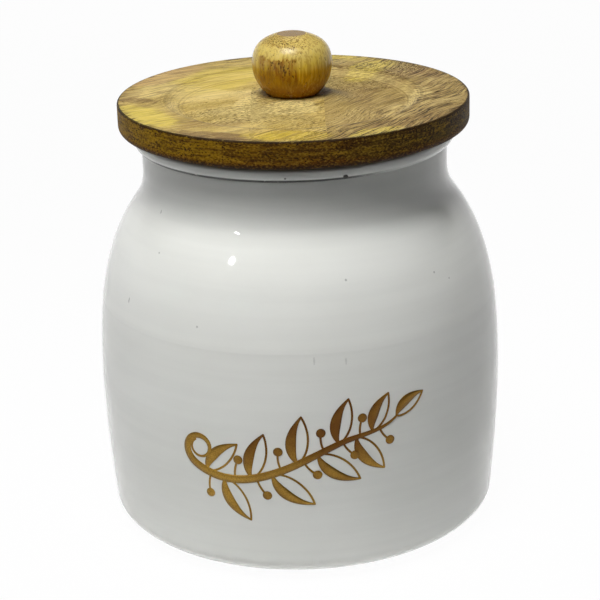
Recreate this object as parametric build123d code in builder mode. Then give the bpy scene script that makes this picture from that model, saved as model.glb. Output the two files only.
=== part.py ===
from build123d import *
import math
import os

os.makedirs("parts", exist_ok=True)

# A countertop salt canister: a spun, necked sheet-iron jar in white enamel, closed by a
# turned wooden lid that lifts straight off. Millimetres, +Z up, the origin at the centre of
# the face that the jar stands on. Every outline is half a section: x is the distance from
# the jar's axis and y is the height.

# ---------------------------------------------------------------- driving dimensions

# Jar
jar_height = 149.8  # floor to the crown of the rolled hem
belly_radius = 75.15  # outside, at the widest
neck_radius = 55.9  # outside
wall = 0.9  # sheet thickness
lining_steps = 6  # stretches of a curve between the points that the inner face is drawn through

# Heights on the jar's wall, measured down from the hem's crown
neck_drop = 14.8  # where the neck becomes straight
throat_drop = 28.8
shoulder_drop = 42.8
seam_drop = 62.2  # where the two spun halves are welded
belly_drop = 91.8

# How much of the way in from belly to neck the wall has come at each of those heights
throat_fall = 0.72
shoulder_fall = 0.35
seam_fall = 0.096

# Lean of the wall at the seam, inwards for each millimetre up: the halves meet in a faint crease
lean_below_seam = 0.13
lean_above_seam = 0.17

# Foot of the jar
belly_swell = 2.55  # how much wider the belly is than the top of the foot's rounded corner
corner_height = 9.0
corner_reach = 15.1
corner_sweep = 87.0  # degrees
foot_ring_width = 4.5  # the flat ring that it stands on
foot_panel_rise = 1.4  # the middle of the base is pressed up
foot_panel_slope = 3.0
foot_panel_round = 2.0

# Hem: the neck's edge rolled outwards and down, and tucked back in towards the neck
hem_depth = 5.7  # crown to free edge
hem_crown = 2.0  # outside radius of the roll's top
hem_tuck = 52.0  # degrees that the free leg turns back in

# Lid
lid_clearance = 0.3  # over the hem's crown
lid_overhang = 5.0  # past the hem
lid_edge = 10.2  # thickness at the rim
lid_under_round = 2.2
lid_top_round = 0.7
rim_width = 16.0
dish_depth = 3.0
cove_width = 8.0  # from the rim's inner edge down to the dish's floor
mound_foot = 27.0
mound_margin = 0.5  # of flat seat round the knob's base
mound_rise = 0.7  # of the knob's seat above the rim
slope_ease = 0.45  # share of a slope's width that eases it in at each end

# Plug under the lid, and its seal
plug_height = 9.0
plug_clearance = 1.0  # inside the neck
plug_round = 1.2
groove_height = 3.6
groove_depth = 2.0
groove_above = 3.2  # wood between the groove and the lid
seal_clearance = 0.3  # between the seal's lips and the neck
seal_slack = 0.1  # in its groove
seal_lip = 0.7
seal_lip_droop = 0.5
seal_back = 1.5  # thickness of the band that carries the lips

# Knob
knob_radius = 14.5
knob_waist = 11.2  # widest height above the seat
knob_height = 21.9
knob_facet = 5.2  # radius of the flat on top
knob_crown_lean = 0.28  # fall of the crown where it leaves the flat
knob_cheek_inset = 2.2  # how far the cheek is inside the widest radius
knob_cheek_height = 18.1
knob_edge_round = 0.5

# Screw and washer that hold the knob
screw_length = 30.0
screw_radius = 2.0
screw_point = 4.0
screw_head_radius = 4.0
screw_head_height = 2.4
screw_head_land = 0.7
drive_length = 4.4
drive_width = 0.9
drive_depth = 1.3
washer_radius = 5.6
washer_thickness = 0.8
washer_clearance = 0.2  # round the screw
through_clearance = 0.4  # round the screw, in the lid and the plug
pilot_clearance = 0.02  # round the screw, in the knob
pilot_beyond = 1.0
bore_clearance = 0.8  # round the washer
bore_depth = 3.6

# ---------------------------------------------------------------- derived places

foot_radius = belly_radius - belly_swell - corner_reach
neck_bore = neck_radius - wall
hem_radius = neck_bore + 2 * hem_crown
hem_bend = hem_crown - wall
roll_height = jar_height - hem_crown
leg_bend = (hem_depth - hem_crown) / math.sin(math.radians(hem_tuck)) - wall

lid_radius = hem_radius + lid_overhang
lid_under = jar_height + lid_clearance
lid_top = lid_under + lid_edge
knob_seat = lid_top + mound_rise
knob_base = math.sqrt(knob_radius**2 - knob_waist**2)

plug_radius = neck_bore - plug_clearance
plug_bottom = lid_under - plug_height
groove_top = lid_under - groove_above
groove_bottom = groove_top - groove_height
groove_radius = plug_radius - groove_depth

bore_roof = plug_bottom + bore_depth
bore_radius = washer_radius + bore_clearance
head_seat = bore_roof - washer_thickness
through_radius = screw_radius + through_clearance


def wall_radius(fall):
    """Outside radius of the jar when it has come in by this share of the shoulder."""
    return belly_radius - fall * (belly_radius - neck_radius)


def eased(start, radius, height):
    """An S-shaped slope outwards from a point, level at both ends."""
    ease = slope_ease * (radius - start.X)
    return Bezier(start, (start.X + ease, start.Y), (radius - ease, height), (radius, height))


# ---------------------------------------------------------------- jar

seam_height = jar_height - seam_drop
seam_outside = (wall_radius(seam_fall), seam_height)
seam_inside = (wall_radius(seam_fall) - wall, seam_height)


def lining(curve, start, end):
    """The inner face of the sheet behind a curve of its outer skin, between two given points."""
    shares = [step / lining_steps for step in range(1, lining_steps)]
    inside = [curve @ share + wall * (curve % share).rotate(Axis.Z, 90) for share in shares]
    return Spline(start, *inside, end, tangents=[curve % 0, curve % 1])


def foot_corner(inset):
    """The rounded corner between foot and belly, set in by this much."""
    return EllipticalCenterArc(
        (foot_radius, corner_height),
        x_radius=corner_reach - inset,
        y_radius=corner_height - inset,
        start_angle=270,
        arc_size=corner_sweep,
    )


# Spun bowl: the skin runs from the middle of the pressed-up base, round the foot and up the
# belly to the seam, and the sheet lies to the left of it
with BuildPart() as body_lower:
    with BuildSketch(Plane.XZ):
        with BuildLine():
            panel_edge = foot_radius - foot_ring_width - foot_panel_slope
            base = FilletPolyline(
                (0, foot_panel_rise),
                (panel_edge, foot_panel_rise),
                (panel_edge + foot_panel_slope, 0),
                (foot_radius, 0),
                radius=foot_panel_round,
            )
            corner = foot_corner(0)
            bowl = Spline(
                corner @ 1,
                (belly_radius, jar_height - belly_drop),
                seam_outside,
                tangents=[corner % 1, (-lean_below_seam, 1)],
            )
            Line(seam_outside, seam_inside)
            corner_inside = foot_corner(wall)
            lining(bowl, corner_inside @ 1, seam_inside)
            offset(base, amount=wall, side=Side.LEFT, closed=False, mode=Mode.ADD)
            Line((0, foot_panel_rise), (0, foot_panel_rise + wall))
        make_face()
    revolve(axis=Axis.Z)

# Spun shoulder and neck, with the mouth's edge rolled outwards into a hem: a round crown, then
# a leg that curls back in. Both faces of the sheet share the centres of those two bends
with BuildPart() as body_upper:
    with BuildSketch(Plane.XZ):
        with BuildLine():
            shoulder = Spline(
                seam_outside,
                (wall_radius(shoulder_fall), jar_height - shoulder_drop),
                (wall_radius(throat_fall), jar_height - throat_drop),
                (neck_radius, jar_height - neck_drop),
                tangents=[(-lean_above_seam, 1), (0, 1)],
            )
            Line(shoulder @ 1, (neck_radius, roll_height))
            Line((neck_bore, roll_height), (neck_bore, jar_height - neck_drop))
            crown_centre = (neck_radius + hem_bend, roll_height)
            leg_centre = (hem_radius - wall - leg_bend, roll_height)
            for inside, outside, centre, start, sweep in (
                (hem_bend, hem_crown, crown_centre, 180, -180),
                (leg_bend, leg_bend + wall, leg_centre, 0, -hem_tuck),
            ):
                CenterArc(centre, inside, start, sweep)
                edge = CenterArc(centre, outside, start, sweep)
            PolarLine(edge @ 1, -wall, -hem_tuck)
            lining(shoulder, seam_inside, (neck_bore, jar_height - neck_drop))
            Line(seam_outside, seam_inside)
        make_face()
    revolve(axis=Axis.Z)

# ---------------------------------------------------------------- lid

# Turned disc: a flat rim, a cove down into the dish, and a mound that lifts the knob's seat
with BuildPart() as lid_disc:
    with BuildSketch(Plane.XZ) as disc_section:
        with BuildLine():
            floor_height = lid_top - dish_depth
            rim_edge = lid_radius - rim_width
            seat = Line((0, knob_seat), (knob_base + mound_margin, knob_seat))
            mound = eased(seat @ 1, mound_foot, floor_height)
            floor = Line(mound @ 1, (rim_edge - cove_width, floor_height))
            cove = eased(floor @ 1, rim_edge, lid_top)
            Polyline(
                cove @ 1,
                (lid_radius, lid_top),
                (lid_radius, lid_under),
                (0, lid_under),
                (0, knob_seat),
            )
        make_face()
        fillet(disc_section.vertices().group_by(Axis.Y)[0].sort_by(Axis.X)[-1], lid_under_round)
        fillet(disc_section.vertices().group_by(Axis.X)[-1].sort_by(Axis.Y)[-1], lid_top_round)
    revolve(axis=Axis.Z)
    with Locations((0, 0, lid_under)):
        Hole(through_radius)

# Plug: a second, cross-grained disc glued underneath, grooved for the seal
with BuildPart() as lid_plug:
    with BuildSketch(Plane.XY.offset(plug_bottom)):
        Circle(plug_radius)
    extrude(amount=plug_height)
    fillet(lid_plug.edges().group_by(Axis.Z)[0], radius=plug_round)
    with BuildSketch(Plane.XY.offset(groove_bottom)):
        Circle(plug_radius)
        Circle(groove_radius, mode=Mode.SUBTRACT)
    extrude(amount=groove_height, mode=Mode.SUBTRACT)
    with Locations(Plane.XY.offset(plug_bottom).rotated((180, 0, 0))):
        CounterBoreHole(through_radius, bore_radius, bore_depth)

# Silicone seal: a band with two drooping lips
with BuildPart() as seal_ring:
    with BuildSketch(Plane.XZ) as seal_section:
        band_low = groove_bottom + seal_slack
        band_high = groove_top - seal_slack
        band_inner = groove_radius + seal_slack
        band_outer = band_inner + seal_back
        lip_tip = neck_bore - seal_clearance
        with BuildLine():
            Polyline(
                (band_inner, band_low),
                (band_outer, band_low),
                (band_outer, band_high),
                (band_inner, band_high),
                close=True,
            )
        make_face()
        for lip_height in (band_low + seal_lip_droop, band_high - seal_lip):
            with BuildLine():
                Polyline(
                    (band_inner, lip_height),
                    (band_outer, lip_height),
                    (lip_tip, lip_height - seal_lip_droop),
                    (lip_tip, lip_height - seal_lip_droop + seal_lip),
                    (band_outer, lip_height + seal_lip),
                    (band_inner, lip_height + seal_lip),
                    close=True,
                )
            make_face()
    revolve(axis=Axis.Z)

# ---------------------------------------------------------------- knob and its fixing

# Turned ball: round below the waist, flatter above it, with a small flat on top
with BuildPart() as knob:
    with BuildSketch(Plane.XZ) as knob_section:
        with BuildLine():
            waist_height = knob_seat + knob_waist
            lower = RadiusArc((knob_base, knob_seat), (knob_radius, waist_height), -knob_radius)
            upper = Spline(
                lower @ 1,
                (knob_radius - knob_cheek_inset, knob_seat + knob_cheek_height),
                (knob_facet, knob_seat + knob_height),
                tangents=[(0, 1), (-1, knob_crown_lean)],
            )
            Polyline(
                upper @ 1,
                (0, knob_seat + knob_height),
                (0, knob_seat),
                (knob_base, knob_seat),
            )
        make_face()
    revolve(axis=Axis.Z)
    fillet(knob.edges().group_by(Axis.Z)[-1], radius=knob_edge_round)
    with BuildSketch(Plane.XY.offset(knob_seat)):
        Circle(screw_radius + pilot_clearance)
    extrude(amount=head_seat + screw_length + pilot_beyond - knob_seat, mode=Mode.SUBTRACT)

with BuildPart() as screw_washer:
    with BuildSketch(Plane.XY.offset(head_seat)):
        Circle(washer_radius)
        Circle(screw_radius + washer_clearance, mode=Mode.SUBTRACT)
    extrude(amount=washer_thickness)

# Pan-head wood screw, point up, driven from below the plug
with BuildPart() as knob_screw:
    with BuildSketch(Plane.XZ):
        with BuildLine():
            head_bottom = head_seat - screw_head_height
            tip = head_seat + screw_length
            Line((0, head_bottom), (screw_radius, head_bottom))
            head = TangentArc(
                (screw_radius, head_bottom),
                (screw_head_radius, head_seat - screw_head_land),
                tangent=(1, 0),
            )
            Polyline(
                head @ 1,
                (screw_head_radius, head_seat),
                (screw_radius, head_seat),
                (screw_radius, tip - screw_point),
                (0, tip),
                (0, head_bottom),
            )
        make_face()
    revolve(axis=Axis.Z)
    with BuildSketch(Plane.XY.offset(head_bottom)):
        Rectangle(drive_length, drive_width)
        Rectangle(drive_width, drive_length)
    extrude(amount=drive_depth, mode=Mode.SUBTRACT)

# ---------------------------------------------------------------- pieces

pieces = {
    "body_lower": body_lower,
    "body_upper": body_upper,
    "lid_disc": lid_disc,
    "lid_plug": lid_plug,
    "seal_ring": seal_ring,
    "knob": knob,
    "knob_screw": knob_screw,
    "screw_washer": screw_washer,
}

for name, piece in pieces.items():
    piece.part.label = name
    export_step(piece.part, f"parts/{name}.step")
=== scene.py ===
"""Looks of a white enamelled canister with a turned wooden lid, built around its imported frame.

Sizes are in metres in the frame's own axes: +Z is up, the floor is at 0 and the decorated front
faces -Y. Materials measure in millimetres, in each piece's own coordinates, so that their pattern
rides with the piece.
"""

import math

import bpy
from mathutils import Matrix, Quaternion, Vector
from mathutils.bvhtree import BVHTree
from mathutils.geometry import interpolate_bezier


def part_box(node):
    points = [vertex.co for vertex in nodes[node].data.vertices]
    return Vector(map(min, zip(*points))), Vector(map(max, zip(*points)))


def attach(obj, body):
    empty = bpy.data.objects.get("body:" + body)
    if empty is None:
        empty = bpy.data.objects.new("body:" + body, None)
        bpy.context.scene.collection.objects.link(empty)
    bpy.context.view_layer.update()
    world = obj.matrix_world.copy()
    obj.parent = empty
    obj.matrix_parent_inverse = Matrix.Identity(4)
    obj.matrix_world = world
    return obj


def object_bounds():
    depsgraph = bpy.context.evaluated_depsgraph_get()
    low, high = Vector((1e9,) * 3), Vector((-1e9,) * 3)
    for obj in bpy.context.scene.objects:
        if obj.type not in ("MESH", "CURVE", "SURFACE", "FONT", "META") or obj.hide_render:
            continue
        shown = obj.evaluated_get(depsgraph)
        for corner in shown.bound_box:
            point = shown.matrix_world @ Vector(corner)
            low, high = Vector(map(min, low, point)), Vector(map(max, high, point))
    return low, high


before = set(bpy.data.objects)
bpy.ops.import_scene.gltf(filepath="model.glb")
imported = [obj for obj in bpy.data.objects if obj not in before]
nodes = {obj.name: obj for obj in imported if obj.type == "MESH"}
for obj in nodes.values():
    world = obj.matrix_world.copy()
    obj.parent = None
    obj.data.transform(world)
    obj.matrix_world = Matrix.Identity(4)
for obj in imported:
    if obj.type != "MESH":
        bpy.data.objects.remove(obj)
cad_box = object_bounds()

MM = 0.001
IMAGE_PIXELS = 600

# heights and radii that the finishes follow, in millimetres
lid_low, lid_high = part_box("lid_disc")
seam_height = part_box("body_lower")[1].z / MM
lid_radius = lid_high.x / MM
lid_under, lid_top = lid_low.z / MM, lid_high.z / MM
knob_low, knob_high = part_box("knob")
belly_radius = cad_box[1].x / MM


def add_object(name, data):
    """A new object in the scene."""
    made = bpy.data.objects.new(name, data)
    bpy.context.scene.collection.objects.link(made)
    return made


# ---------------------------------------------------------------- colours


def linear(red, green, blue):
    """A colour given as sRGB values from 0 to 255, as the linear colour that a shader takes."""

    def channel(value):
        value /= 255
        return value / 12.92 if value <= 0.04045 else ((value + 0.055) / 1.055) ** 2.4

    return (channel(red), channel(green), channel(blue), 1.0)


def grey(value):
    """A neutral factor as a colour."""
    return (value, value, value, 1.0)


# ---------------------------------------------------------------- shader helpers


class Shading:
    """A tree of shader nodes. Each method from node down adds a node and gives back its output."""

    def __init__(self, tree):
        self.tree = tree

    def plug(self, socket, value):
        """Gives a socket a value, or a link from another node's output."""
        if isinstance(value, bpy.types.NodeSocket):
            self.tree.links.new(value, socket)
        else:
            socket.default_value = value

    def node(self, kind, inputs, output=0, **settings):
        made = self.tree.nodes.new("ShaderNode" + kind)
        for setting, value in settings.items():
            setattr(made, setting, value)
        for socket, value in inputs.items():
            self.plug(made.inputs[socket], value)
        return made.outputs[output]

    def math(self, operation, *values):
        return self.node("Math", dict(enumerate(values)), operation=operation)

    def times(self, a, b):
        return self.math("MULTIPLY", a, b)

    def plus(self, a, b):
        return self.math("ADD", a, b)

    def inverse(self, value):
        """1 minus a value."""
        return self.math("SUBTRACT", 1.0, value)

    def stirred(self, value, noise, amount):
        """A value with noise times an amount added."""
        return self.math("MULTIPLY_ADD", noise, amount, value)

    def vector(self, operation, *values, output=0):
        return self.node("VectorMath", dict(enumerate(values)), output, operation=operation)

    def scaled(self, at, scale):
        return self.vector("MULTIPLY", at, scale)

    def moved(self, at, offset):
        return self.vector("ADD", at, offset)

    def turned(self, at, angle, rotation_type="Z_AXIS"):
        values = {"Vector": at, "Angle": angle}
        return self.node("VectorRotate", values, rotation_type=rotation_type)

    def length(self, at):
        return self.vector("LENGTH", at, output="Value")

    def axis(self, at, name):
        return self.node("SeparateXYZ", {0: at}, name)

    def joined(self, x, y, z):
        return self.node("CombineXYZ", {0: x, 1: y, 2: z})

    def step(self, value, low, high, start=0.0, end=1.0):
        """A smooth change from start to end while value goes from low to high."""
        inputs = {"Value": value, "From Min": low, "From Max": high, "To Min": start, "To Max": end}
        return self.node("MapRange", inputs, interpolation_type="SMOOTHSTEP")

    def band(self, value, middle, half, soft):
        """1 within half of middle, falling to 0 over soft."""
        away = self.math("ABSOLUTE", self.math("SUBTRACT", value, middle))
        return self.step(away, half, half + soft, 1.0, 0.0)


class Finish(Shading):
    """One procedural material, whose coordinates, at, are in millimetres."""

    def __init__(self, name, surface):
        self.material = bpy.data.materials.new(name)
        self.material.use_nodes = True
        super().__init__(self.material.node_tree)
        self.shader = self.tree.nodes["Principled BSDF"]
        self.surface(surface)
        self.at = self.scaled(self.node("TexCoord", {}, "Object"), (1 / MM,) * 3)

    def surface(self, values):
        """Gives inputs of the shader a value or a link."""
        for socket, value in values.items():
            self.plug(self.shader.inputs[socket], value)

    def radius(self, at):
        """Distance from the vertical axis."""
        return self.length(self.scaled(at, (1, 1, 0)))

    def upward(self):
        """How far a face looks up, from -1 to 1."""
        return self.axis(self.node("TexCoord", {}, "Normal"), "Z")

    def noise(self, at, detail=2, roughness=0.5, distortion=0.0):
        inputs = {"Vector": at, "Scale": 1, "Detail": detail}
        inputs |= {"Roughness": roughness, "Distortion": distortion}
        return self.node("TexNoise", inputs)

    def even_noise(self, at, scale, **settings):
        """Noise with one scale along all axes."""
        return self.noise(self.scaled(at, (scale,) * 3), **settings)

    def lathe_noise(self, radius, scale, **settings):
        """Noise that changes with the radius alone, as a turning tool's rings do."""
        return self.noise(self.joined(self.times(radius, scale), 0.0, 0.0), **settings)

    def mix(self, factor, a, b, mode="MIX"):
        return self.node("MixRGB", {"Fac": factor, "Color1": a, "Color2": b}, blend_type=mode)

    def ramp(self, value, *stops):
        """A colour ramp with (place, colour) stops."""
        colour = self.node("ValToRGB", {"Fac": value})
        elements = colour.node.color_ramp.elements
        for _ in stops[2:]:
            elements.new(0.5)
        for element, (place, tone) in zip(elements, stops):
            element.position = place
            element.color = tone
        return colour

    def bump(self, *layers):
        """Stacks (height, distance in millimetres) layers of relief on the shader."""
        normal = None
        for height, distance in layers:
            inputs = {"Height": height, "Distance": distance * MM}
            if normal:
                inputs["Normal"] = normal
            normal = self.node("Bump", inputs)
        self.surface({"Normal": normal})


# ---------------------------------------------------------------- the jar's skin


def outer_skin():
    """The two shells of the jar as one tree to cast rays at."""
    points, faces = [], []
    for name in ("body_lower", "body_upper"):
        mesh = nodes[name].data
        start = len(points)
        points += [vertex.co.copy() for vertex in mesh.vertices]
        faces += [[start + index for index in face.vertices] for face in mesh.polygons]
    return BVHTree.FromPolygons(points, faces)


skin = outer_skin()

# where along X the rays that look for the skin start, clear of the jar
cast_from = 2 * cad_box[1].x


def skin_point(turn, height):
    """The jar's outer face and its normal at an azimuth from the front, in radians, and a height.

    The ray runs along X, where both shells have a column of corners, and its answer is turned to
    the azimuth. The height and the answer are in metres.
    """
    point, normal, _, _ = skin.ray_cast(Vector((cast_from, 0, height)), Vector((-1, 0, 0)))
    normal = Vector((abs(normal.x), 0, normal.z if normal.x > 0 else -normal.z)).normalized()
    to_azimuth = Matrix.Rotation(turn - math.pi / 2, 3, "Z")
    return to_azimuth @ point, to_azimuth @ normal


# ---------------------------------------------------------------- enamel

enamel_shade, enamel_white = linear(226, 227, 221), linear(234, 235, 230)
steel_and_shadow, lid_shade_brown = linear(44, 41, 36), linear(104, 90, 70)

# Marks in the enamel of the jar: azimuth from the front in degrees, height and radius in
# millimetres, how many times as tall as wide, and how dark.
enamel_marks = [
    (17.0, 145.35, 0.85, 0.85, 1.0),
    (-3.4, 145.9, 0.28, 1.0, 0.8),
    (-56.5, 127.0, 0.2, 4.0, 0.4),
    (-48.7, 115.4, 0.3, 1.0, 0.35),
    (-57.8, 96.5, 0.18, 7.0, 0.5),
    (-29.5, 94.8, 0.3, 1.0, 0.35),
    (14.1, 111.2, 0.3, 1.0, 0.4),
    (44.2, 107.6, 0.28, 1.0, 0.4),
    (49.8, 103.8, 0.25, 1.0, 0.35),
    (3.6, 85.3, 0.2, 5.0, 0.18),
    (12.2, 84.4, 0.2, 4.0, 0.18),
    (104.0, 62.0, 0.35, 1.0, 0.5),
    (151.0, 118.0, 0.22, 5.0, 0.4),
    (-118.0, 34.0, 0.4, 1.0, 0.6),
    (-163.0, 88.0, 0.3, 1.0, 0.4),
]

# how far a mark's edge fades, in millimetres
mark_softness = 0.2

# the painted shadow under the hem's free edge: its height, the radius past which it lies, and where
# it fades along X
hem_shadow_height = 144.3
hem_shadow_radius = 56.4
hem_shadow_fade = (16.0, 34.0)

# a brown painted shade on the hem's top, under the lid: the heights where it starts and is full
lid_shade_heights = (147.6, 149.4)

# the soft step in the relief at the girth: the heights of its foot and its top
girth_step = (seam_height - 1.4, seam_height + 1.0)


def mark_place(azimuth, height):
    """The point of the jar's skin at an azimuth in degrees and a height, in millimetres."""
    point, _ = skin_point(math.radians(azimuth), height * MM)
    return point / MM


def mark_mask(finish, at):
    """How dark the specks and hairlines make each place. Their outlines are ragged."""
    ragged = finish.even_noise(at, 1.6, detail=3)
    mask = 0.0
    for azimuth, height, size, tall, dark in enamel_marks:
        away = finish.vector("SUBTRACT", at, mark_place(azimuth, height))
        away = finish.length(finish.scaled(away, (1, 1, 1 / tall)))
        spread = finish.times(ragged, size * 2)
        mark = finish.step(away, spread, finish.plus(spread, mark_softness), dark, 0.0)
        mask = finish.math("MAXIMUM", mask, mark)
    return mask


def hem_edge_shadow(finish, at):
    """A painted shadow under the hem's free edge, steel dark, in broken dashes that fade along X.
    """
    low = finish.band(finish.axis(at, "Z"), hem_shadow_height, 0.65, 0.35)
    outside = finish.step(finish.radius(at), hem_shadow_radius, hem_shadow_radius + 0.3)
    dashes = finish.noise(finish.scaled(at, (0.22, 0.22, 0.0)), detail=4, roughness=0.7)
    side = finish.step(finish.axis(at, "X"), *hem_shadow_fade, 0.95, 0.1)
    broken = finish.times(finish.step(dashes, 0.24, 0.36), side)
    return finish.times(finish.times(low, outside), broken)


def enamel():
    """White enamel over spun sheet: faint rings, slow waves, orange peel and a few marks."""
    finish = Finish("enamel", {"IOR": 1.5, "Specular IOR Level": 0.4})
    at = finish.at
    height = finish.axis(at, "Z")
    clouds = finish.noise(finish.scaled(at, (0.012, 0.012, 0.03)), detail=3)
    rings = finish.noise(finish.scaled(at, (0.006, 0.006, 0.35)), detail=3)
    tone = finish.ramp(clouds, (0.3, enamel_shade), (0.7, enamel_white))
    streaks = finish.step(rings, 0.35, 0.65, 0.98, 1.0)
    tone = finish.mix(1.0, tone, finish.joined(streaks, streaks, streaks), "MULTIPLY")
    # marks holds the real specks and chips, and the painted shadow under the hem's free edge
    marks = finish.math("MAXIMUM", mark_mask(finish, at), hem_edge_shadow(finish, at))
    tone = finish.mix(marks, tone, steel_and_shadow)
    # brown painted shade on the hem's top, under the lid's overhang
    lid_shade = finish.step(height, *lid_shade_heights, 0.0, 0.85)
    lid_shade = finish.times(lid_shade, finish.step(clouds, 0.2, 0.5, 0.7, 1.0))
    tone = finish.mix(lid_shade, tone, lid_shade_brown)
    smears = finish.noise(finish.scaled(at, (0.03, 0.03, 0.09)), detail=4, roughness=0.6)
    rough = finish.step(smears, 0.3, 0.7, 0.03, 0.07)
    finish.surface({"Base Color": tone, "Roughness": finish.plus(rough, finish.times(marks, 0.4))})
    waves = finish.noise(finish.scaled(at, (0.015, 0.015, 0.03)), detail=1)
    peel = finish.even_noise(at, 0.5)
    girth = finish.step(height, *girth_step)
    chips_and_shadow = finish.inverse(marks)
    finish.bump((waves, 0.06), (rings, 0.002), (girth, 0.035), (peel, 0.002), (chips_and_shadow, 0.12))
    return finish.material


# ---------------------------------------------------------------- wood


def grain_noise(finish, grain, length, width, detail=4, roughness=0.6, distortion=0.0):
    """Noise drawn out along X, with features of a length and a width in millimetres."""
    stretched = finish.scaled(grain, (1 / length, 1 / width, 1 / width))
    return finish.noise(stretched, detail, roughness, distortion)


def speckle(finish, grain, crowd, length=1.4, rare=0.74):
    """Vessels as short dashes along the grain.

    There are next to none where crowd is 0 and many where it is 1. They are a length long, in
    millimetres, and are fewer everywhere with a higher value of rare.
    """
    cells = grain_noise(finish, grain, length, 0.45, detail=2, roughness=0.5)
    edge = finish.math("MULTIPLY_ADD", crowd, -0.2, rare)
    return finish.step(cells, edge, finish.plus(edge, 0.05))


def oval(finish, at, centre, halves, turn, shift):
    """Distance from a flat oval's centre, 1 at its rim. A noisy shift frays the rim."""
    local = finish.moved(at, (-centre[0], -centre[1], 0))
    local = finish.turned(local, -math.radians(turn))
    away = finish.length(finish.scaled(local, (1 / halves[0], 1 / halves[1], 0)))
    return finish.plus(away, shift)


# ---------------------------------------------------------------- the lid's boards

# Glue lines, as places along X, and the grain's angle: on the left board, then from one board to
# the next, in degrees.
glue_lines = (-15.3, 11.1)
grain_turn = (30.0, 11.0)

# how far the figure jumps from one board to the next, and the pale glints from the dark flecks
board_shift = (67.0, 31.0, 17.0)
glint_shift = (43.0, 29.0, 11.0)

# how far the grain bends sideways and in depth, and how fast its figure changes with height
grain_bend = (26.0, 9.0)
grain_climb = 4.0

# a board's number runs from 0, left, to 2, right: the changes that set the outer two apart
left_to_middle = (0.0, 0.9)
middle_to_right = (1.1, 1.9)

yellow = linear(208, 186, 86)
mustard = linear(190, 164, 58)
straw = linear(222, 200, 132)
tan = linear(192, 165, 94)
ash = linear(164, 139, 66)
umber = linear(132, 106, 62)
drab = linear(142, 120, 78)
rust = linear(134, 104, 66)
blush = linear(198, 162, 110)
bark = linear(60, 40, 16)

# Areas of sapwood and heartwood on the lid: centre, half length and half width in millimetres,
# turn in degrees, tone and strength.
lid_zones = [
    ((-53, -24), (18, 8), -57, yellow, 0.9),
    ((-50, 14), (18, 8), 60, straw, 0.5),
    ((-31, 32), (20, 11), 35, yellow, 0.65),
    ((-36, 15), (13, 8), 12, straw, 0.5),
    ((-56, -3), (8, 4), -20, umber, 0.75),
    ((-60, 6), (14, 5), 80, rust, 0.35),
    ((-28, -34), (14, 7), 40, rust, 0.45),
    ((-29, -2), (13, 6), 0, ash, 0.45),
    ((-30, -17), (12, 6), -10, ash, 0.45),
    ((-17, -8), (5, 10), 0, straw, 0.7),
    ((-1, -27), (13, 6), 0, ash, 0.5),
    # the next straw area, on the mound's front slope, is partly a painted highlight
    ((-2, -16), (11, 5), 0, straw, 0.8),
    ((-47, 33), (22, 7), 52, blush, 0.65),
    ((-26, -54), (15, 4.5), -27, umber, 1.0),
    ((-2, -37), (12, 6), 0, ash, 0.5),
    ((-2, -56), (14, 6), 0, mustard, 0.9),
    ((29, 38), (14, 7), 50, yellow, 0.85),
    ((20, 57), (18, 5), -18, yellow, 0.5),
    ((45, 33), (17, 8), 60, rust, 0.75),
    ((26, 20), (10, 8), 40, umber, 0.55),
    ((12, 58), (14, 5), 0, yellow, 0.6),
    ((46, -6), (14, 4), 84, straw, 0.4),
    ((40, -42), (20, 6), 38, umber, 0.75),
    ((57, -20), (14, 6), 66, umber, 0.15),
    ((59, 12), (14, 4), 96, umber, 0.2),
    ((50, 28), (12, 5), 120, rust, 0.6),
    ((24, 10), (14, 8), 70, umber, 0.35),
    ((28, -54), (11, 4), 26, yellow, 0.8),
]

# areas thick with dark vessels, behind and in front: centre, half sizes, turn and crowd
fleck_patches = [((30, 30), (26, 16), 30, 0.62), ((-24, -16), (17, 12), -10, 0.6)]

# radii over which the mound's flecks thin out, and the dish's soft streaks grow strong
mound_fade = (22.0, 40.0)
dish_fade = (36.0, 46.0)

# The cove: the radii of its middle, of the painted light on its floor and of the painted shade
# along its outer edge, whose dark stretch in front fades out over these places along Y and X.
cove_radius = 44.0
cove_shade_radius = 46.7
cove_light_radius = cove_shade_radius - 3.4
cove_shade_back = (-42.0, -38.0)
cove_shade_right = (10.0, 18.0)


def lid_board(finish, at):
    """Which board a point is in, 0 to 2. The glue lines run front to back."""
    x = finish.axis(at, "X")
    left, right = (finish.math("GREATER_THAN", x, line) for line in glue_lines)
    return finish.plus(left, right)


def lid_grain(finish, at, board):
    """Coordinates whose X runs along each board's own grain, which bends a little."""
    start, change = (math.radians(angle) for angle in grain_turn)
    along = finish.turned(at, finish.math("MULTIPLY_ADD", board, -change, -start))
    shift = finish.joined(*(finish.times(board, part) for part in board_shift))
    bend = finish.even_noise(at, 0.022, detail=1)
    sideways, deep = grain_bend
    climb = finish.times(finish.axis(at, "Z"), grain_climb)
    bent = finish.joined(0.0, finish.stirred(climb, bend, sideways), finish.times(bend, deep))
    return finish.moved(finish.moved(along, shift), bent)


def zone_tone(finish, at, grain, tone):
    """Lays the sapwood and heartwood areas over a tone, with streaky edges that wander."""
    wander = finish.even_noise(at, 0.05, detail=4, roughness=0.65)
    streaks = grain_noise(finish, grain, 14, 1.6, detail=3)
    shift = finish.math("MULTIPLY_ADD", wander, 1.5, -1.2)
    shift = finish.stirred(shift, streaks, 0.9)
    for centre, halves, turn, colour, strength in lid_zones:
        away = oval(finish, at, centre, halves, turn, shift)
        tone = finish.mix(finish.step(away, 0.8, 1.15, strength, 0.0), tone, colour)
    return tone


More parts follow.
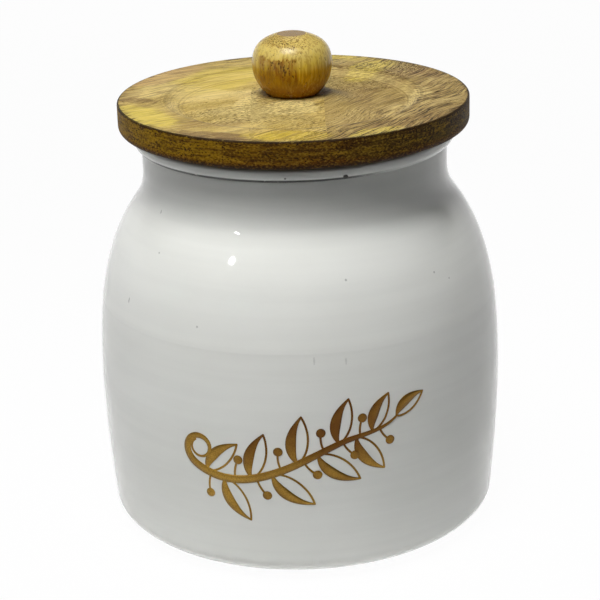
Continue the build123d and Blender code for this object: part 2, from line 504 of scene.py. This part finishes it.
def streak_tone(finish, at, grain, board, radius, tone):
    """Lays dark and light streaks along the grain over a tone.

    The dark ones crowd in patches and on the right board, and are softest on the left board and
    in the dish.
    """
    patches = finish.step(finish.even_noise(at, 0.04), 0.35, 0.6)
    crowd = finish.plus(patches, finish.step(board, *middle_to_right, 0.0, 0.5))
    strength = finish.step(board, *left_to_middle, 0.65, 1.0)
    strength = finish.times(strength, finish.step(radius, *dish_fade, 0.6, 1.0))
    broad = grain_noise(finish, grain, 24, 1.9, detail=3)
    broad = finish.times(finish.step(broad, 0.4, 0.48, 0.6, 0.0), strength)
    tone = finish.mix(broad, tone, umber)
    fine = grain_noise(finish, grain, 12, 0.7, detail=3)
    dark = finish.step(fine, 0.42, 0.48, 1.0, 0.0)
    dark = finish.times(dark, finish.math("MULTIPLY_ADD", crowd, 0.55, 0.2))
    tone = finish.mix(finish.times(dark, strength), tone, bark)
    return finish.mix(finish.step(fine, 0.56, 0.64, 0.0, 0.45), tone, straw)


def fleck_crowd(finish, at, board, radius):
    """How thick the flecks are: most on the middle board, on the mound and in two patches."""
    middle = finish.times(finish.band(board, 1.0, 0.4, 0.1), 0.35)
    mound = finish.step(radius, *mound_fade, 0.3, 0.0)
    clouds = finish.step(finish.even_noise(at, 0.06, detail=3), 0.35, 0.65, 0.1, 0.6)
    rear, front = (
        finish.step(oval(finish, at, centre, halves, turn, 0.0), 0.7, 1.1, crowd, 0.0)
        for centre, halves, turn, crowd in fleck_patches
    )
    patches = finish.math("MAXIMUM", rear, front)
    return finish.plus(finish.plus(middle, mound), finish.plus(patches, clouds))


def rim_darkening(finish, grain, radius, flecks):
    """How dark the top's last few millimetres are, in flecks and in streaks."""
    flecked = finish.times(finish.step(radius, lid_radius - 6.0, lid_radius - 1.0), flecks)
    streaks = finish.step(grain_noise(finish, grain, 10, 1.0), 0.4, 0.5, 0.8, 0.0)
    outer = finish.step(radius, lid_radius - 4.0, lid_radius - 0.8)
    return finish.math("MAXIMUM", flecked, finish.times(streaks, outer))


def cove_shading(finish, at, radius, tone):
    """Lays painted shade on the cove's tool rings and edge, and painted light on its floor."""
    tool = finish.lathe_noise(radius, 1.4, detail=3, roughness=0.6)
    # tool rings darkened only across the cove: partly real rings, partly painted shade of the
    # hollow
    rings = finish.step(tool, 0.4, 0.5, 0.36, 0.0)
    rings = finish.times(rings, finish.band(radius, cove_radius, 3.0, 3.0))
    tone = finish.mix(rings, tone, umber)
    # painted light on the cove's floor
    glow = finish.band(radius, cove_light_radius, 1.2, 1.6)
    glow = finish.times(glow, finish.step(tool, 0.35, 0.6, 0.05, 0.35))
    tone = finish.mix(glow, tone, straw)
    # painted shade along the cove's outer edge, darkest in front
    line = finish.band(radius, cove_shade_radius, 0.3, 0.5)
    front = finish.step(finish.axis(at, "Y"), *cove_shade_back, 0.85, 0.0)
    front = finish.times(front, finish.step(finish.axis(at, "X"), *cove_shade_right, 1.0, 0.0))
    return finish.mix(finish.times(line, finish.math("MAXIMUM", front, 0.22)), tone, bark)


def lid_top_tone(finish, at, grain, board, radius):
    """The top's colour, broad figure to fine flecks, with the cove's painted light and shade, and
    the flecks' mask.
    """
    figure = grain_noise(finish, grain, 50, 11, distortion=0.4)
    tone = finish.ramp(figure, (0.3, umber), (0.42, ash), (0.55, tan), (0.75, straw))
    tone = finish.mix(finish.step(board, *left_to_middle, 0.1, 0.0), tone, straw)
    tone = finish.mix(finish.step(board, *middle_to_right, 0.0, 0.6), tone, drab)
    tone = zone_tone(finish, at, grain, tone)
    tone = streak_tone(finish, at, grain, board, radius, tone)
    crowd = fleck_crowd(finish, at, board, radius)
    flecks = speckle(finish, grain, crowd)
    tone = finish.mix(finish.times(flecks, 0.75), tone, bark)
    glints = speckle(finish, finish.moved(grain, glint_shift), crowd)
    tone = finish.mix(finish.times(glints, 0.5), tone, straw)
    tone = finish.mix(rim_darkening(finish, grain, radius, flecks), tone, bark)
    return cove_shading(finish, at, radius, tone), flecks


# ---------------------------------------------------------------- the lid's side

# tones of the side from left to right, then of its bands, its foot's rust and painted shade, its
# flecks and its top arris
olive, ochre = linear(138, 104, 6), linear(112, 78, 5)
brown, moss = linear(84, 56, 8), linear(80, 62, 14)
dark_band, light_band = linear(62, 36, 4), linear(152, 116, 26)
foot_rust, foot_shade = linear(112, 62, 14), linear(36, 22, 8)
dark_fleck, light_fleck = linear(30, 16, 3), linear(164, 130, 46)
arris_brown = linear(36, 20, 6)


def lid_edge_tone(finish, at, height):
    """The side's colour: dark, deep and flecked, olive to the left, brown and moss to the right."""
    clouds = finish.noise(finish.scaled(at, (0.1, 0.1, 0.35)), detail=4, roughness=0.65)
    along = finish.stirred(finish.axis(at, "X"), clouds, 50.0)
    share = finish.step(along, -40.0, 90.0)
    tone = finish.ramp(share, (0.05, olive), (0.4, ochre), (0.62, brown), (0.95, moss))
    bands = finish.noise(finish.scaled(at, (0.09, 0.09, 0.9)), detail=4, roughness=0.65)
    tone = finish.mix(finish.step(bands, 0.38, 0.52, 0.75, 0.0), tone, dark_band)
    tone = finish.mix(finish.step(bands, 0.52, 0.64, 0.0, 0.55), tone, light_band)
    wavy = finish.plus(height, finish.times(clouds, 4.0))
    rusty = finish.step(wavy, lid_under + 3.0, lid_under + 6.0, 0.55, 0.0)
    tone = finish.mix(rusty, tone, foot_rust)
    # painted shade along the side's foot, just above the lid's underside
    shaded = finish.step(height, lid_under + 0.5, lid_under + 3.2, 0.85, 0.0)
    tone = finish.mix(shaded, tone, foot_shade)
    dots = finish.noise(finish.scaled(at, (1.1, 1.1, 1.9)))
    flecks = finish.step(dots, 0.4, 0.46, 1.0, 0.0)
    flecks = finish.times(flecks, finish.step(clouds, 0.35, 0.6, 0.95, 0.5))
    tone = finish.mix(flecks, tone, dark_fleck)
    return finish.mix(finish.step(dots, 0.56, 0.64, 0.0, 0.4), tone, light_fleck)


def arris_mask(finish, ragged, radius, height):
    """Where the arris between the side and the top is dark, as a ragged line."""
    low = finish.band(finish.stirred(height, ragged, -2.2), lid_top - 1.8, 0.5, 0.35)
    outer = finish.step(radius, lid_radius - 0.9, lid_radius - 0.5)
    return finish.times(finish.times(low, outer), finish.step(ragged, 0.38, 0.46, 0.6, 0.95))


def lid_wood():
    """Lacquered mango wood in three boards, turned, with tool rings and a dark side."""
    finish = Finish("lid_wood", {"IOR": 1.45, "Specular IOR Level": 0.1})
    at = finish.at
    board = lid_board(finish, at)
    grain = lid_grain(finish, at, board)
    radius = finish.radius(at)
    height = finish.axis(at, "Z")

    top_tone, flecks = lid_top_tone(finish, at, grain, board, radius)
    ragged = finish.even_noise(at, 0.45, detail=5, roughness=0.75)
    side = finish.step(finish.stirred(finish.upward(), ragged, 0.4), 0.6, 0.8, 1.0, 0.0)
    tone = finish.mix(side, top_tone, lid_edge_tone(finish, at, height))
    tone = finish.mix(arris_mask(finish, ragged, radius, height), tone, arris_brown)

    worn = finish.step(ragged, 0.3, 0.7, 0.38, 0.5)
    dry = finish.times(finish.math("MAXIMUM", flecks, side), 0.15)
    finish.surface({"Base Color": tone, "Roughness": finish.plus(worn, dry)})
    tool = finish.lathe_noise(radius, 0.9, detail=3, roughness=0.6)
    fibres = grain_noise(finish, grain, 20, 0.9)
    finish.bump((tool, 0.12), (fibres, 0.12), (finish.inverse(flecks), 0.08))
    return finish.material


# ---------------------------------------------------------------- knob and plug

# the knob's ground tones from its foot up, then its streaks, stains, crown, vessels and top flat
knob_tones = [
    (0.06, linear(162, 110, 3)),
    (0.22, linear(202, 153, 8)),
    (0.4, linear(202, 153, 8)),
    (0.62, linear(202, 171, 48)),
    (0.88, linear(206, 184, 106)),
]
dark_streak, light_streak = linear(140, 96, 6), linear(214, 184, 70)
stain_brown, crown_brown = linear(124, 70, 5), linear(150, 104, 20)
vessel_brown, flat_brown = linear(56, 28, 3), linear(136, 108, 68)

# dark stains in the knob: side (-1 front, 1 back), x from and to, height from and to, strength
knob_stains = [
    (-1, (-11.3, -9.0), (167.0, 177.0), 0.9),
    (-1, (-8.6, 1.8), (167.5, 176.0), 1.0),
    (1, (-2.0, 9.0), (170.0, 178.0), 0.8),
]


def knob_stain(finish, at, streaks, clouds):
    """The stained stretches: crisp tops, frayed sides, and feet that run out along the grain."""
    across = finish.plus(finish.stirred(finish.axis(at, "X"), clouds, 4.0), -2.0)
    height = finish.plus(finish.stirred(finish.axis(at, "Z"), streaks, 3.0), -1.5)
    mask = 0.0
    for side, (left, right), (foot, top), strength in knob_stains:
        inside = finish.band(across, (left + right) / 2, (right - left) / 2 - 0.6, 1.4)
        inside = finish.times(inside, finish.step(height, top - 0.4, top + 0.5, strength, 0.0))
        inside = finish.times(inside, finish.step(height, foot - 3.0, foot + 3.0))
        facing = finish.step(finish.times(finish.axis(at, "Y"), side), -1.0, 3.0)
        mask = finish.math("MAXIMUM", mask, finish.times(inside, facing))
    return mask


def knob_crown(finish, at, clouds, height):
    """The knob's brown, flecked crown, which fades to the right."""
    top = knob_high.z / MM
    crown = finish.step(finish.stirred(height, clouds, 3.0), top - 2.8, top - 0.8)
    return finish.times(crown, finish.step(finish.axis(at, "X"), -6.0, 9.0, 1.0, 0.6))


def knob_wood():
    """Lacquered wood with upright grain, amber to pale gold, stained and flecked in places."""
    finish = Finish("knob_wood", {"IOR": 1.5, "Specular IOR Level": 0.27})
    at = finish.at
    upright = finish.turned(at, math.pi / 2, "Y_AXIS")
    height = finish.axis(at, "Z")
    clouds = finish.noise(finish.scaled(at, (0.14, 0.14, 0.08)), detail=3, roughness=0.6)
    low, high = knob_low.z / MM + 2.5, knob_high.z / MM + 2.5
    tone = finish.ramp(finish.step(finish.stirred(height, clouds, 5.0), low, high), *knob_tones)
    streaks = grain_noise(finish, upright, 9, 0.8, detail=3)
    tone = finish.mix(finish.step(streaks, 0.42, 0.5, 0.4, 0.0), tone, dark_streak)
    tone = finish.mix(finish.step(streaks, 0.54, 0.62, 0.0, 0.35), tone, light_streak)

    drawn = grain_noise(finish, upright, 5, 1.5, roughness=0.7)
    stain = knob_stain(finish, at, streaks, clouds)
    soaked = finish.times(stain, finish.step(drawn, 0.4, 0.6, 0.85, 0.4))
    tone = finish.mix(soaked, tone, stain_brown)
    crown = knob_crown(finish, at, clouds, height)
    browned = finish.times(crown, finish.step(drawn, 0.35, 0.6, 0.42, 0.1))
    tone = finish.mix(browned, tone, crown_brown)

    crowd = finish.math("MAXIMUM", finish.times(stain, 0.75), crown)
    crowd = finish.math("MAXIMUM", crowd, finish.step(clouds, 0.4, 0.65, 0.15, 0.5))
    vessels = speckle(finish, upright, crowd, length=1.6, rare=0.73)
    tone = finish.mix(finish.times(vessels, 0.85), tone, vessel_brown)
    flat = finish.step(finish.upward(), 0.97, 0.99)
    tone = finish.mix(finish.times(flat, 0.9), tone, flat_brown)
    finish.surface({"Base Color": tone, "Roughness": finish.step(clouds, 0.3, 0.7, 0.2, 0.28)})
    finish.bump((streaks, 0.05), (finish.inverse(vessels), 0.05))
    return finish.material


def plug_wood():
    """The plug's plainer board: pale, dry lacquer, grain front to back."""
    finish = Finish("plug_wood", {"IOR": 1.45, "Specular IOR Level": 0.2})
    grain = finish.turned(finish.at, math.radians(-80))
    figure = grain_noise(finish, grain, 60, 10, distortion=0.5)
    tone = finish.ramp(figure, (0.3, tan), (0.5, straw), (0.7, yellow))
    lines = grain_noise(finish, grain, 20, 0.9, detail=5)
    tone = finish.mix(finish.step(lines, 0.36, 0.5, 0.45, 0.0), tone, umber)
    vessels = speckle(finish, grain, 0.45)
    tone = finish.mix(finish.times(vessels, 0.5), tone, bark)
    finish.surface({"Base Color": tone, "Roughness": finish.step(figure, 0.3, 0.7, 0.45, 0.6)})
    finish.bump((lines, 0.08), (finish.inverse(vessels), 0.06))
    return finish.material


# ---------------------------------------------------------------- seal and fasteners

dusty_white, milky_white = linear(206, 205, 198), linear(224, 224, 219)
zinc_blue, zinc_yellow = linear(196, 198, 202), linear(206, 198, 172)


def silicone():
    """Milky silicone rubber with a bloom of dust."""
    finish = Finish("silicone", {"IOR": 1.41, "Subsurface Weight": 0.35, "Subsurface Scale": 0.002})
    dust = finish.noise(finish.scaled(finish.at, (0.5, 0.5, 0.8)), detail=5, roughness=0.7)
    tone = finish.ramp(dust, (0.35, dusty_white), (0.65, milky_white))
    finish.surface({"Base Color": tone, "Roughness": finish.step(dust, 0.3, 0.7, 0.38, 0.6)})
    finish.bump((dust, 0.02))
    return finish.material


def zinc_steel():
    """Bright zinc plate with faint lathe lines and a yellow cast in places."""
    finish = Finish("zinc_steel", {"Metallic": 1.0})
    cast = finish.even_noise(finish.at, 0.4, detail=3)
    tone = finish.ramp(cast, (0.35, zinc_blue), (0.7, zinc_yellow))
    lathe = finish.lathe_noise(finish.radius(finish.at), 6.0)
    finish.surface({"Base Color": tone, "Roughness": finish.step(lathe, 0.3, 0.7, 0.24, 0.4)})
    finish.bump((lathe, 0.01))
    return finish.material


# ---------------------------------------------------------------- gold

bronze, old_gold, tarnish = linear(98, 64, 28), linear(166, 132, 60), linear(92, 62, 30)

# the foil's painted reflection brightens it from the first to the second of these: down by height,
# out by X
foil_bright_down = (66.0, 28.0)
foil_bright_out = (12.0, 42.0)


def gold_foil():
    """Old gold foil: bronze in the middle and above, brighter below and outside, fine speckled."""
    finish = Finish("gold_foil", {"Metallic": 1.0})
    at = finish.at
    down = finish.step(finish.axis(at, "Z"), *foil_bright_down, 0.0, 0.8)
    sideways = finish.math("ABSOLUTE", finish.axis(at, "X"))
    bright = finish.plus(down, finish.step(sideways, *foil_bright_out, 0.0, 0.6))
    cloud = finish.even_noise(at, 0.08, detail=3)
    bright = finish.plus(bright, finish.step(cloud, 0.3, 0.7, -0.25, 0.25))
    tone = finish.ramp(bright, (0.0, bronze), (1.0, old_gold))
    specks = finish.even_noise(at, 2.6, detail=4, roughness=0.7)
    tone = finish.mix(finish.step(specks, 0.35, 0.6, 0.5, 0.0), tone, tarnish)
    finish.surface({"Base Color": tone, "Roughness": finish.step(specks, 0.3, 0.7, 0.5, 0.3)})
    finish.bump((specks, 0.02))
    return finish.material


# ---------------------------------------------------------------- gold sprig

# The sprig is drawn flat, in millimetres: x runs along the belly from the middle of its front,
# and y up from sprig_height.
sprig_height = 50.5
hairline = 0.8

# how far the foil stands off the skin, and how much more each layer of strokes does
foil_thickness = 0.04
foil_lift = 0.07
layer_lift = 0.012
hairline_layer, leaf_layer, berry_layer, stem_layer = range(4)

# the stem's two curves, which meet at stem_joint: their ends, their pulls and how many points
stem_start, stem_joint, stem_end = Vector((-38, -7)), Vector((16, 5)), Vector((34, 11))
stem_pulls = [Vector((-19, -17)), Vector((2, 1)), Vector((24, 7)), Vector((29, 7))]
stem_points = (45, 23)

# the tendril that curls on past the stem's start
tendril_length, tendril_turn, tendril_ease, tendril_points = 38.0, math.radians(-480), 1.4, 70

# the stem's least width, what it swells by, and the share of its line, from the tendril's tip,
# that doesn't swell
stem_thin, stem_swell, stem_thin_share = 0.9, 2.3, 0.12

# A leaf's half width over its length, and what its heavy stroke swells by. Its strokes are pulled
# at these shares of its length, out to these shares of its half width.
leaf_belly, leaf_swell = 0.19, 3.0
leaf_pulls = ((0.25, 1.25), (0.7, 1.1))
leaf_points = 24
tip_leaf_length, tip_leaf_lean = 13.0, -0.1

# A berry is a very short stroke with round ends, on a stalk. The stalk has a length and a lean in
# degrees, which change along the stem, and a turn that bends it towards the stem's tip.
berry_radius = 1.7
berry_length = 0.01
stalk_length, stalk_length_change = 8.2, -2.0
stalk_lean, stalk_lean_change = 97, -12
stalk_turn, stalk_points = math.radians(35), 12

# Each side of the stem: sign, leaves, share of the stem at the first and from one to the next,
# lean and its change along the stem in degrees, and the berries' shares.
sprig_sides = [
    (1, 5, 0.03, 0.195, 68, -20, (0.155, 0.35, 0.54, 0.73)),
    (-1, 4, 0.11, 0.2, 54, 16, (0.05, 0.245, 0.445, 0.635, 0.86)),
]

# where the corners of a stroke's round end lie, in degrees round it, from its tip inwards
end_turns = (87, 75, 60, 45, 30, 15)


def heading_vector(angle):
    """The way that an angle points, as a vector of length 1."""
    return Vector((math.cos(angle), math.sin(angle)))


def curl(start, angle, length, turn, count, ease=1.0):
    """A line that sets out at an angle and turns by turn in all, ever faster if ease is over 1."""
    line = [start]
    for index in range(count):
        share = (index + 0.5) / count
        line.append(line[-1] + heading_vector(angle + turn * share**ease) * length / count)
    return line


def leaf(base, angle, length, heavy_side):
    """An open leaf of two strokes that meet at the tip: one swells, the other is a hairline."""
    along = heading_vector(angle) * length
    across = along.orthogonal() * leaf_belly
    strokes = []
    for side, swell, layer in (
        (heavy_side, leaf_swell, leaf_layer),
        (-heavy_side, 0.0, hairline_layer),
    ):
        out, back = (base + along * far + across * side * wide for far, wide in leaf_pulls)
        line = interpolate_bezier(base, out, back, base + along, leaf_points)
        shares = [index / (len(line) - 1) for index in range(len(line))]
        widths = [hairline + swell * math.sin(math.pi * share**0.85) ** 1.5 for share in shares]
        strokes.append((line, widths, layer))
    return strokes


def leaf_length(side, share):
    """A leaf's length: most near the stem's middle, and a little less above the stem than below."""
    return 16.0 - 0.5 * side - 4.0 * share + 4.0 * math.sin(math.pi * (0.9 * share + 0.08))


def berry(base, angle, side, share):
    """A round berry on a hairline stalk, at a side of the stem and a share of its length."""
    angle += side * math.radians(stalk_lean + stalk_lean_change * share)
    length = stalk_length + stalk_length_change * share
    stalk = curl(base, angle, length, -side * stalk_turn, stalk_points)
    dot = [stalk[-1] - heading_vector(angle) * berry_length, stalk[-1]]
    return [
        (stalk, [hairline] * len(stalk), hairline_layer),
        (dot, [2 * berry_radius] * 2, berry_layer),
    ]


def stem():
    """The stem's points from the first leaf to the tip."""
    first, last = stem_points
    line = interpolate_bezier(stem_start, *stem_pulls[:2], stem_joint, first)
    return line[:-1] + interpolate_bezier(stem_joint, *stem_pulls[2:], stem_end, last)


def stem_place(line, share):
    """The point of the stem at a share of its points, and its heading there."""
    index = min(int(share * (len(line) - 1)), len(line) - 2)
    step = line[index + 1] - line[index]
    return line[index] + step * (share * (len(line) - 1) - index), math.atan2(step.y, step.x)


def stem_stroke(line):
    """The stem with the tendril that it grows out of, as one stroke that swells and thins."""
    start_angle = math.atan2(*(stem_start - stem_pulls[0]).yx)
    tendril = curl(
        stem_start, start_angle, tendril_length, tendril_turn, tendril_points, tendril_ease
    )
    whole = tendril[::-1] + line[1:]
    shares = [index / (len(whole) - 1) - stem_thin_share for index in range(len(whole))]
    shares = [max(0.0, share / (1 - stem_thin_share)) for share in shares]
    widths = [stem_thin + stem_swell * abs(math.sin(math.pi * share)) ** 1.1 for share in shares]
    return whole, widths, stem_layer


def sprig_strokes():
    """Every stroke of the sprig as its line, its widths and its layer."""
    line = stem()
    strokes = [stem_stroke(line)]
    for side, leaves, first, gap, lean, change, berries in sprig_sides:
        for index in range(leaves):
            share = first + gap * index
            base, angle = stem_place(line, share)
            angle += side * math.radians(lean + change * share)
            strokes += leaf(base, angle, leaf_length(side, share), side)
        for share in berries:
            strokes += berry(*stem_place(line, share), side, share)
    base, angle = stem_place(line, 1.0)
    return strokes + leaf(base, angle + tip_leaf_lean, tip_leaf_length, 1)


def round_ends(line, widths):
    """Adds a half-round end to both ends of a stroke."""
    turns = [math.radians(turn) for turn in end_turns]
    for _ in range(2):
        outward = (line[0] - line[1]).normalized() * widths[0] / 2
        line = [line[0] + outward * math.sin(turn) for turn in turns] + line
        widths = [widths[0] * math.cos(turn) for turn in turns] + widths
        line, widths = line[::-1], widths[::-1]
    return line, widths


def on_skin(place, layer):
    """A place of the flat drawing laid on the belly, a hair off it."""
    point, normal = skin_point(place.x / belly_radius, (sprig_height + place.y) * MM)
    return point + normal * (foil_lift + layer_lift * layer) * MM


def lay_stroke(points, faces, line, widths, layer):
    """Adds a stroke to the points and faces, as a ribbon three corners wide on the skin."""
    line, widths = round_ends(line, widths)
    last = len(line) - 1
    for index, (place, width) in enumerate(zip(line, widths)):
        step = line[min(index + 1, last)] - line[max(index - 1, 0)]
        across = step.normalized().orthogonal() * width / 2
        start = len(points)
        points += [on_skin(place + across * side, layer) for side in (-1, 0, 1)]
        if index:
            for corner in (start, start + 1):
                faces.append((corner - 3, corner, corner + 1, corner - 2))


def add_sprig():
    """The gold sprig on the front, as foil of a real thickness."""
    points, faces = [], []
    for stroke in sprig_strokes():
        lay_stroke(points, faces, *stroke)
    mesh = bpy.data.meshes.new("front_sprig")
    mesh.from_pydata(points, [], faces)
    mesh.polygons.foreach_set("use_smooth", [True] * len(faces))
    mesh.materials.append(gold_foil())
    sprig = add_object("front_sprig", mesh)
    sprig.modifiers.new("thickness", "SOLIDIFY").thickness = foil_thickness * MM
    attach(sprig, "canister")


# ---------------------------------------------------------------- camera

# where the camera stands from its target, and its lens in pixels of the reference view, which is
# IMAGE_PIXELS wide
camera_distance = 0.736
camera_elevation = math.radians(20.2523)
camera_roll = math.radians(-1.632)
camera_target = Vector((0, 0, 0.08039))
camera_clip = (0.01, 50.0)
sensor_width = 36.0
focal_pixels = 1948.15
principal_point = (298.85, 300.52)


def face_jar(thing, azimuth, elevation, distance, roll=0.0):
    """Stands a camera or lamp off the camera's target, looking at it. Angles are in radians."""
    level = math.cos(elevation)
    back = Vector((math.sin(azimuth) * level, -math.cos(azimuth) * level, math.sin(elevation)))
    thing.location = camera_target + back * distance
    thing.rotation_mode = "QUATERNION"
    thing.rotation_quaternion = back.to_track_quat("Z", "Y") @ Quaternion((0, 0, 1), roll)


def add_camera():
    """The viewpoint of the reference view: a little above the lid, from the decorated front."""
    data = bpy.data.cameras.new("camera")
    data.sensor_width = sensor_width
    data.lens = focal_pixels / IMAGE_PIXELS * sensor_width
    data.shift_x = 0.5 - principal_point[0] / IMAGE_PIXELS
    data.shift_y = principal_point[1] / IMAGE_PIXELS - 0.5
    data.clip_start, data.clip_end = camera_clip
    camera = add_object("camera", data)
    face_jar(camera, 0.0, camera_elevation, camera_distance, camera_roll)
    bpy.context.scene.camera = camera


# ---------------------------------------------------------------- studio

# Softboxes: azimuth from the front and elevation in degrees, distance, width and height in metres,
# power in watts and spread in degrees.
softboxes = {
    "key": (-21, 70, 0.8, 0.42, 0.42, 0.8, 45),
    "left_fill": (-90, 12, 1.1, 0.35, 0.35, 0.4, 180),
    "window": (-46, 36.2, 1.1, 0.052, 0.09, 0.8, 180),
    "back_fill": (180, 50, 1.1, 0.35, 0.35, 0.5, 180),
    "back_low": (180, 8, 1.1, 0.5, 0.5, 0.9, 180),
    "right_rim": (110, 10, 1.1, 0.35, 0.35, 0.1, 180),
}

# lamps that light the jar but don't show as highlights on it
unreflected = ("left_fill", "back_low", "right_rim")

# the world's even light, and how high in it the white backdrop starts to fade and is gone
ambient = 0.02
backdrop_top = (0.14, 0.24)

# the floor, and the share of its look that is plain white where it is seen
floor_side = 8.0
floor_drop = 0.0002
floor_look = {"Base Color": grey(0.75), "Roughness": 0.8}
floor_white_share = 0.975


def add_softbox(name, azimuth, elevation, distance, width, height, power, spread):
    """A soft lamp that faces the jar, hidden from the camera and, for some, from reflections."""
    data = bpy.data.lights.new(name, "AREA")
    data.shape = "RECTANGLE"
    data.size, data.size_y = width, height
    data.spread = math.radians(spread)
    data.energy = power
    lamp = add_object(name, data)
    face_jar(lamp, math.radians(azimuth), math.radians(elevation), distance)
    lamp.visible_camera = False
    lamp.visible_glossy = name not in unreflected


def seen_rays(shading):
    """1 for rays that show the background itself: camera, glossy and transmission rays."""
    seen = shading.node("LightPath", {}, "Is Camera Ray")
    path = seen.node
    for kind in ("Is Glossy Ray", "Is Transmission Ray"):
        seen = shading.math("MAXIMUM", seen, path.outputs[kind])
    return seen


def add_floor():
    """A wide pale floor: near white where it is seen, with the jar's shadow kept."""
    mesh = bpy.data.meshes.new("floor")
    half = floor_side / 2
    corners = [(-half, -half), (half, -half), (half, half), (-half, half)]
    mesh.from_pydata([(x, y, -floor_drop) for x, y in corners], [], [(0, 1, 2, 3)])
    floor = add_object("floor", mesh)
    finish = Finish("floor", floor_look)
    glow = finish.node("Emission", {"Color": grey(1.0), "Strength": 1.0})
    share = finish.times(seen_rays(finish), floor_white_share)
    surface = finish.node("MixShader", {0: share, 1: finish.shader.outputs[0], 2: glow})
    finish.plug(finish.tree.nodes["Material Output"].inputs["Surface"], surface)
    mesh.materials.append(finish.material)


def set_world():
    """White near the horizon where it is seen, and a dim even light for everything else."""
    world = bpy.data.worlds.new("studio")
    world.use_nodes = True
    bpy.context.scene.world = world
    sky = Shading(world.node_tree)
    height = sky.axis(sky.node("TexCoord", {}, "Generated"), "Z")
    horizon = sky.step(height, *backdrop_top, 1.0, 0.0)
    seen = sky.times(seen_rays(sky), horizon)
    background = sky.tree.nodes["Background"]
    sky.plug(background.inputs["Color"], grey(1.0))
    strength = sky.node("MapRange", {"Value": seen, "To Min": ambient})
    sky.plug(background.inputs["Strength"], strength)


# ---------------------------------------------------------------- making


def dress(material, *names):
    """Gives a finish to CAD nodes, whose shape stays."""
    for name in names:
        for slot in nodes[name].material_slots:
            slot.material = material


add_camera()
for name, values in softboxes.items():
    add_softbox(name, *values)
add_floor()
set_world()
bpy.context.scene.view_settings.view_transform = "Standard"

add_sprig()
dress(enamel(), "body_lower", "body_upper")
dress(lid_wood(), "lid_disc")
dress(knob_wood(), "knob")
dress(plug_wood(), "lid_plug")
dress(silicone(), "seal_ring")
dress(zinc_steel(), "knob_screw", "screw_washer")
